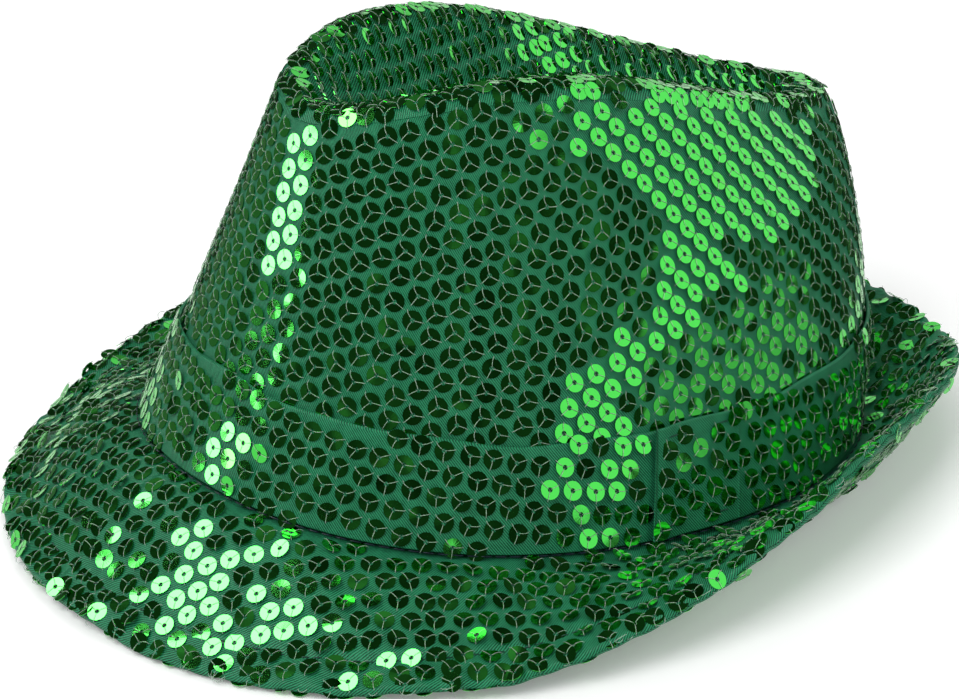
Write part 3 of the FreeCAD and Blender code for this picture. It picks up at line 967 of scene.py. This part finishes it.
def find_on_brim(points, margin_in, margin_out):
    """Angle and reach on the brim of points of its flat ring."""
    turns = np.linspace(0.0, FULL_TURN, 1441)[:-1]
    line = base_curve(turns)[:, :2]
    facing = outward(turns)[:, :2]
    found = []
    for point in points:
        away = point - line
        gap = np.sum(away ** 2, -1)
        nearest = int(np.argmin(gap))
        distance = float(away[nearest] @ facing[nearest])
        width = float(around(brim_widths, turns[nearest]))
        if margin_in <= distance <= width - margin_out:
            found.append((turns[nearest], distance / width))
    return np.array(found)


ring = np.array([0.15, 0.16])
top_spots = find_on_brim(lattice(-ring, ring, math.radians(31.0), seed=6), 2.9 * MM, 2.4 * MM)
place, normal, climb = upper_side(brim, top_spots[:, 0], top_spots[:, 1])
ahead = np.broadcast_to(np.array([math.sin(0.54), math.cos(0.54), 0.0]), normal.shape)
axes = frames_for(normal, ahead)
from_crown = top_spots[:, 1] * around(brim_widths, top_spots[:, 0])
beside = np.exp(-((top_spots[:, 0] - math.radians(82.0)) / 0.42) ** 4)
pushed = math.radians(20.0) * beside * np.clip((8.5 * MM - from_crown) / (2.0 * MM), 0.0, 1.0)
away = np.arctan2(np.sum(climb * axes[:, 1], -1), np.sum(climb * axes[:, 0], -1))
sew_discs("brim_top", place - normal * cloth_depth, axes, 41, math.radians(7.0), 0.15,
          math.radians(26.0), steady=(pushed, away))

under_spots = find_on_brim(lattice(-ring, ring, math.radians(-14.0), seed=7), 2.0 * MM, 3.3 * MM)
place, normal, climb = upper_side(brim, under_spots[:, 0], under_spots[:, 1])
axes = frames_for(-normal, ahead[:1] * np.ones((len(place), 1)))
sew_discs("brim_under", place - normal * (brim_depth - under_depth), axes, 42, math.radians(3.0), 0.10,
          math.radians(14.0), floor=table_clear)
print("sequins on the brim:", len(top_spots), "above and", len(under_spots), "below")

# %% Discs and loose loops along the edge
edge_count = 132
edge_turns = np.linspace(0.0, FULL_TURN, 3000)
edge_length = arc_lengths(brim(edge_turns, np.ones(3000)))
edge_random = np.random.default_rng(51)
edge_at = np.arange(edge_count) + edge_random.uniform(-0.35, 0.35, edge_count)
edge_at = edge_at * edge_length[-1] / edge_count
edge_angle = np.interp(edge_at % edge_length[-1], edge_length, edge_turns)
edge_reach = 1.0 - edge_radius / around(brim_widths, edge_angle)
place, normal, climb = upper_side(brim, edge_angle, edge_reach)
hang = edge_random.uniform(0.15, 0.75, edge_count)
under = edge_random.random(edge_count) < 0.4
hang = np.where(under, math.pi - hang, hang)[:, None]
facing = normal * np.cos(hang) + climb * np.sin(hang)
place = place - normal * (cloth_depth + edge_radius) + facing * edge_radius - climb * 1.1 * MM
sew_discs("brim_edge", place, frames_for(facing, np.cross(facing, climb)), 52, math.radians(7.0), 0.25,
          math.radians(24.0), floor=table_clear)


def tube_piece(name, path, radius, material, sides=6):
    """Round tubes along many short paths at once: path has a line of points for each tube."""
    count, steps = path.shape[:2]
    run = unit(np.gradient(path, axis=1))
    guide = np.broadcast_to(np.array([0.0, 0.0, 1.0]), run.shape)
    guide = np.where(np.abs(run[..., 2:3]) > 0.9, np.array([1.0, 0.0, 0.0]), guide)
    across = unit(np.cross(run, guide))
    upward = np.cross(across, run)
    turn = np.arange(sides) * FULL_TURN / sides
    swell = np.ones(steps)
    swell[0] = swell[-1] = 0.45
    ring = across[:, :, None, :] * np.cos(turn)[:, None] + upward[:, :, None, :] * np.sin(turn)[:, None]
    points = path[:, :, None, :] + ring * (radius * swell)[None, :, None, None]
    one = [grid_faces(steps, sides, True)]
    for k in range(sides // 2 - 1):
        low = np.array([[k, sides - 1 - k, sides - 2 - k, k + 1]])
        one += [low, (steps - 1) * sides + low[:, ::-1]]
    faces = (np.arange(count)[:, None, None] * steps * sides + np.concatenate(one)).reshape(-1, 4)
    return mesh_piece(name, points.reshape(-1, 3), faces, material, smooth=True)


loop_count = 90
loop_angle = edge_random.uniform(0.0, FULL_TURN, loop_count)
place, normal, climb = upper_side(brim, loop_angle, np.full(loop_count, 0.995))
along = np.cross(normal, climb)
size = edge_random.uniform(1.0, 2.6, loop_count)[:, None] * MM
lean = edge_random.uniform(-0.8, 0.8, loop_count)[:, None]
out = climb * np.cos(lean) + normal * np.sin(lean)
root = place - normal * 1.0 * MM - climb * 0.6 * MM
loops = laid(np.stack([root + out * size * math.sin(step) + along * size * 0.8 * math.cos(step)
                       for step in np.linspace(0.0, math.pi, 7)], 1))
loops[..., 2] = np.maximum(loops[..., 2], table_clear + 0.1 * MM)
tube_piece("brim_edge_loops", loops, 0.11 * MM, clear_thread, 4)
print("edge discs:", edge_count, "edge loops:", loop_count)

# %% [markdown]
# ## Stitching
# The brim is topstitched one centimetre inside its edge, the crown is sewn to the brim in dark thread,
# and short tacks hold the keeper. Each stitch is a short capsule that rises from the cloth and goes
# back in, which leaves the small gaps that make a row of stitches read as sewn.

# %% Rows of stitches
stitch_radius = 0.2 * MM
stitch_turns = np.linspace(0.0, FULL_TURN, 2400)
topstitch_reach = 1.0 - topstitch_inset / around(brim_widths, stitch_turns)


def below_brim(depth):
    """The surface that lies a depth under the brim's top face."""
    def face(a, b):
        place, normal, climb = upper_side(brim, a, b)
        return place - normal * depth
    return face


def off_wall(out):
    """The surface that lies squarely off the crown's wall."""
    return lambda a, b: wall(a, b, out)


def stitch_row(name, surface, side, facing, second, length, gap, material, node):
    """A row of single stitches along a line on a surface."""
    run = arc_lengths(surface(stitch_turns, second))
    count = int(run[-1] / (length + gap))
    shares = np.linspace(0.0, 1.0, 5)
    at = (np.arange(count) * run[-1] / count)[:, None] + shares * length
    angle, other = np.interp(at, run, stitch_turns), np.interp(at, run, second)
    place, normal, climb = side(surface, angle, other)
    arch = (np.sin(math.pi * shares) - 0.25) * stitch_radius * 1.5
    path = laid(place + facing * normal * arch[None, :, None])
    path[..., 2] = np.maximum(path[..., 2], stitch_radius + 0.1 * MM)
    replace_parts(tube_piece(name, path, stitch_radius, material), node)


stitch_row("brim_topstitch_thread", below_brim(cloth_depth), upper_side, 1.0, topstitch_reach,
           2.6 * MM, 0.7 * MM, green_thread, "brim_topstitch_upper")
stitch_row("brim_under_stitch_thread", below_brim(brim_depth - under_depth), upper_side, -1.0,
           topstitch_reach, 2.6 * MM, 0.7 * MM, green_thread, "brim_topstitch_lower")
stitch_row("join_thread", off_wall(2.1 * MM), outer_side, 1.0, np.full(2400, 0.9 * MM),
           3.0 * MM, 0.8 * MM, dark_thread, "join_stitching")
stitch_row("sweatband_thread", off_wall(-3.95 * MM), outer_side, -1.0, np.full(2400, 3.2 * MM),
           2.4 * MM, 0.8 * MM, green_thread, "sweatband_stitching")

tack_paths = []
for rise in (5.0 * MM, band_height - 1.0 * MM):
    for side in (-0.3, 0.3):
        middle = keeper_angle + side * keeper_width / keeper_radius
        turns = middle + np.linspace(-1.3, 1.3, 6) * MM / keeper_radius
        tack_paths.append(wall(turns, np.full(6, rise), keeper_out + keeper_lift(turns) + 0.1 * MM))
tack_paths = laid(np.stack(tack_paths))
keeper_tacks = tube_piece("keeper_tacks", tack_paths, stitch_radius, green_thread)
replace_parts(keeper_tacks, "keeper_stitching")
print("stitches made")

# %% [markdown]
# ## Floor, light and camera
# Mirror film shows what stands round it, so the light is set with that in mind. Soft lamps that mirrors
# can't see light the cloth. The mirrors see a set of big soft cards on a dome. Two bright ones stand
# ahead on the hat's right, one low and one high. Calm ones stand behind its left side, with dim ones
# below them. One more stands behind, and a faint one at the side. A drape that glows faintly
# closes the dome all the way round, with painted patches of brighter glow in place of lit folds.

# %% Floor


def stage_piece(name, points, faces, material, seen):
    """A mesh of the set, seen only by the kinds of rays that are named."""
    mesh = bpy.data.meshes.new(name)
    mesh.from_pydata([tuple(map(float, p)) for p in points], [], [tuple(map(int, f)) for f in faces])
    mesh.materials.append(material)
    piece = bpy.data.objects.new(name, mesh)
    bpy.context.scene.collection.objects.link(piece)
    for kind in ("camera", "diffuse", "glossy", "transmission", "volume_scatter", "shadow"):
        setattr(piece, "visible_" + kind, kind in seen)
    return piece


def disc_floor(name, inner, outer, material, seen, sides=64):
    """A flat ring of floor, or a full disc when the inner radius is nought."""
    ring = [(math.cos(t), math.sin(t)) for t in np.arange(sides) * FULL_TURN / sides]
    points = [(outer * x, outer * y, 0.0) for x, y in ring]
    if inner:
        points = [(inner * x, inner * y, 0.0) for x, y in ring] + points
        faces = [(sides + k, sides + (k + 1) % sides, (k + 1) % sides, k) for k in range(sides)]
    else:
        points.append((0.0, 0.0, 0.0))
        faces = [(sides, k, (k + 1) % sides) for k in range(sides)]
    return stage_piece(name, points, faces, material, seen)


floor_paint, floor_nodes, floor_links, floor_shader = new_material("floor_paint")
set_inputs(floor_shader, Base_Color=(0.93, 0.93, 0.93, 1.0), Roughness=0.9, Specular_IOR_Level=0.0,
           Emission_Color=(0.17, 0.17, 0.17, 1.0))
floor_rays = add(floor_nodes, "LightPath")
floor_links.new(floor_rays.outputs["Is Camera Ray"], floor_shader.inputs["Emission Strength"])
near_radius, far_radius = 0.24, 6.0
disc_floor("near_floor", 0.0, near_radius, floor_paint, ("camera", "diffuse", "glossy", "shadow"))
disc_floor("far_floor", near_radius, far_radius, floor_paint, ("camera", "diffuse", "shadow"))

# %% Lamps that light the cloth


def lamp(name, azimuth, elevation, distance, size, power):
    """A soft square lamp that looks at the hat and isn't mirrored in it."""
    light = bpy.data.lights.new(name, "AREA")
    light.shape = "SQUARE"
    light.size = size
    light.energy = power
    holder = bpy.data.objects.new(name, light)
    bpy.context.scene.collection.objects.link(holder)
    a, e = math.radians(azimuth), math.radians(elevation)
    back = Vector((math.sin(a) * math.cos(e), -math.cos(a) * math.cos(e), math.sin(e)))
    holder.location = back * distance + Vector((0.0, 0.0, 0.05))
    holder.rotation_mode = "QUATERNION"
    holder.rotation_quaternion = (-back).to_track_quat("-Z", "Y")
    holder.visible_glossy = False
    return holder


lamp("key_lamp", 20.0, 55.0, 2.2, 1.4, 30.0)
lamp("fill_lamp", 110.0, 35.0, 2.4, 1.6, 13.0)
lamp("rear_lamp", 235.0, 40.0, 2.4, 1.6, 12.0)

# %% What the mirror film sees


def dome_patch(name, azimuths, elevations, material, radius=2.0, centre=(0.0, 0.0, 0.06)):
    """A piece of a dome between two azimuths and two elevations, in degrees, seen by mirrors only."""
    across = max(2, int(abs(azimuths[1] - azimuths[0]) / 4.0) + 1)
    upward = max(2, int(abs(elevations[1] - elevations[0]) / 6.0) + 1)
    points = []
    for e in np.radians(np.linspace(*elevations, upward)):
        for a in np.radians(np.linspace(*azimuths, across)):
            points.append((centre[0] + radius * math.sin(a) * math.cos(e),
                           centre[1] - radius * math.cos(a) * math.cos(e),
                           centre[2] + radius * math.sin(e)))
    return stage_piece(name, points, grid_faces(upward, across, False), material, ("glossy",))


def glow(name, strength):
    """A plain glowing card."""
    material, nodes, links = new_material(name)[:3]
    nodes.clear()
    shine = add(nodes, "Emission", Color=(1.0, 1.0, 1.0, 1.0), Strength=strength)
    links.new(shine.outputs["Emission"], add(nodes, "OutputMaterial").inputs["Surface"])
    return material


key_glow, calm_glow, dim_glow = glow("key_glow", 8.0), glow("calm_glow", 1.22), glow("dim_glow", 0.62)
for name, azimuths, elevations, material in (
        ("key_card_low", (-45.0, -17.0), (2.5, 12.0), key_glow),
        ("key_card_high", (-57.0, -16.0), (38.0, 69.0), key_glow),
        ("calm_card_left", (104.0, 149.0), (20.8, 40.0), calm_glow),
        ("calm_card_middle", (149.0, 175.0), (14.0, 40.0), calm_glow),
        ("calm_card_right", (175.0, 197.0), (8.5, 32.0), calm_glow),
        ("dim_card_left", (126.0, 142.0), (-1.5, 3.9), dim_glow),
        ("dim_card_right", (142.0, 162.0), (-5.0, 1.4), dim_glow),
        ("rear_card", (211.0, 242.0), (-5.0, 42.0), glow("rear_glow", 0.9))):
    dome_patch(name, azimuths, elevations, material)
dome_patch("side_card", (-88.0, -50.0), (-15.0, 4.0), glow("side_glow", 0.14), 2.1)

drape = glow("dark_drape", 0.30)
drape_nodes, drape_links = drape.node_tree.nodes, drape.node_tree.links
drape_spots = add(drape_nodes, "TexCoord")
# Painted light: noise makes the drape's glow brighter in patches, in place of folds that catch light.
glow_patches = add(drape_nodes, "TexNoise", Scale=1.6, Detail=3.0)
drape_links.new(drape_spots.outputs["Object"], glow_patches.inputs["Vector"])
greys = [(place, (grey, grey, grey)) for place, grey in ((0.30, 0.05), (0.56, 0.15), (0.72, 1.0))]
tint(drape_nodes, drape_links, glow_patches.outputs["Fac"], greys, drape_nodes["Emission"].inputs["Color"])
dome_patch("front_drape", (-85.0, 285.0), (-60.0, 90.0), drape, 2.6)
print("cards and drape that only mirrors see: 10")

# %% [markdown]
# The world is plain white to the camera and to mirrors. As light on the cloth it is weaker, so that the
# lamps shape it.

# %% White room
world = bpy.data.worlds.new("white_room")
bpy.context.scene.world = world
world.use_nodes = True
world_nodes, world_links = world.node_tree.nodes, world.node_tree.links
world_nodes.clear()
rays = add(world_nodes, "LightPath")
seen = rays.outputs["Is Camera Ray"]
for kind in ("Is Glossy Ray", "Is Transmission Ray"):
    either = add(world_nodes, "Math")
    either.operation = "MAXIMUM"
    world_links.new(seen, either.inputs[0])
    world_links.new(rays.outputs[kind], either.inputs[1])
    seen = either.outputs[0]
white = add(world_nodes, "Background", Color=(1.0, 1.0, 1.0, 1.0), Strength=1.0)
room = add(world_nodes, "Background", Color=(1.0, 1.0, 1.0, 1.0), Strength=0.40)
choice = add(world_nodes, "MixShader")
for source, socket in ((seen, 0), (room.outputs[0], 1), (white.outputs[0], 2)):
    world_links.new(source, choice.inputs[socket])
world_links.new(choice.outputs[0], add(world_nodes, "OutputWorld").inputs["Surface"])
print("strength of the world on the cloth:", round(room.inputs["Strength"].default_value, 2))

# %% Camera
camera_azimuth = math.radians(57.797)
camera_elevation = math.radians(25.686)
camera_roll = math.radians(-1.795)
camera_distance = 0.9025
camera_aim = Vector((-4.36, -1.22, 32.53)) * MM
camera_data = bpy.data.cameras.new("camera")
camera_data.lens = 120.55
camera_data.sensor_width = 36.0
camera_data.clip_start = 0.01
camera_data.clip_end = 50.0
camera = bpy.data.objects.new("camera", camera_data)
bpy.context.scene.collection.objects.link(camera)
back = Vector((math.sin(camera_azimuth) * math.cos(camera_elevation),
               -math.cos(camera_azimuth) * math.cos(camera_elevation), math.sin(camera_elevation)))
level = Vector((math.cos(camera_azimuth), math.sin(camera_azimuth), 0.0))
upright_view = back.cross(level)
right = level * math.cos(camera_roll) + upright_view * math.sin(camera_roll)
up = back.cross(right)
turn = Matrix((right, up, back)).transposed()
camera.matrix_world = Matrix.Translation(camera_aim + back * camera_distance) @ turn.to_4x4()
bpy.context.scene.camera = camera
bpy.context.scene.view_settings.view_transform = "Standard"
